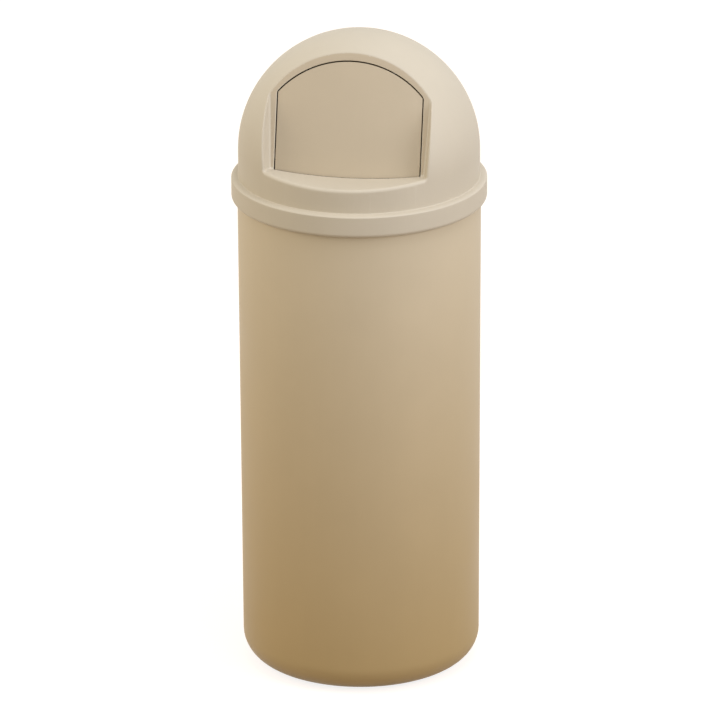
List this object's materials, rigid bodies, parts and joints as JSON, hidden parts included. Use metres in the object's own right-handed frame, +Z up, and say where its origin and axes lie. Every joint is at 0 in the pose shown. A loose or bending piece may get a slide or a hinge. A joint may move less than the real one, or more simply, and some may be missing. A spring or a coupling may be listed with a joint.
{
  "type": "dome-top waste bin",
  "caption": "Round floor-standing waste bin with a lift-off domed top, a sprung push door that swings inwards, and a rigid inner liner.",
  "frame": {"origin": "on the floor, under the middle of the bin", "axes": "+Z up along the bin's axis, -Y towards the front, where the push door is, +X to the right of someone who faces the door"},
  "size_m": [0.38, 0.3798, 0.985],
  "materials": {
    "body_plastic": "beige moulded polyethylene, satin",
    "dome_plastic": "beige moulded polyethylene, satin",
    "liner_plastic": "dark grey moulded polyethylene",
    "steel": "zinc-plated",
    "nylon": "black moulded nylon",
    "rubber": "soft black rubber"
  },
  "bodies": {
    "body": {"body_shell": "body_plastic"},
    "liner": {"liner_bucket": "liner_plastic"},
    "dome": {"dome_shell": "dome_plastic", "hinge_rod": "steel", "rod_push_nuts": "steel", "hinge_bracket_left": "nylon", "hinge_bracket_right": "nylon", "bracket_screws": "steel", "door_spring_left": "steel", "door_spring_right": "steel"},
    "door": {"door_panel": "dome_plastic", "door_bumpers": "rubber"}
  },
  "joints": [
    {"name": "dome_lift", "type": "slide", "parent": "body", "child": "dome", "axis": [0, 0, 1], "range_m": [0, 0.95]},
    {"name": "liner_lift", "type": "slide", "parent": "body", "child": "liner", "axis": [0, 0, 1], "range_m": [0, 0.76]},
    {"name": "push_door", "type": "hinge", "parent": "dome", "child": "door", "pos_m": [0, -0.05306, 0.94336], "axis": [1, 0, 0], "range_deg": [0, 72], "stiffness_Nm_per_rad": 0.12, "springref_deg": -68.75, "deforming": ["door_spring_left", "door_spring_right"]}
  ],
  "couplings": [
    {"joint": "liner_lift", "follows": "dome_lift", "ratio": 0.8}
  ]
}
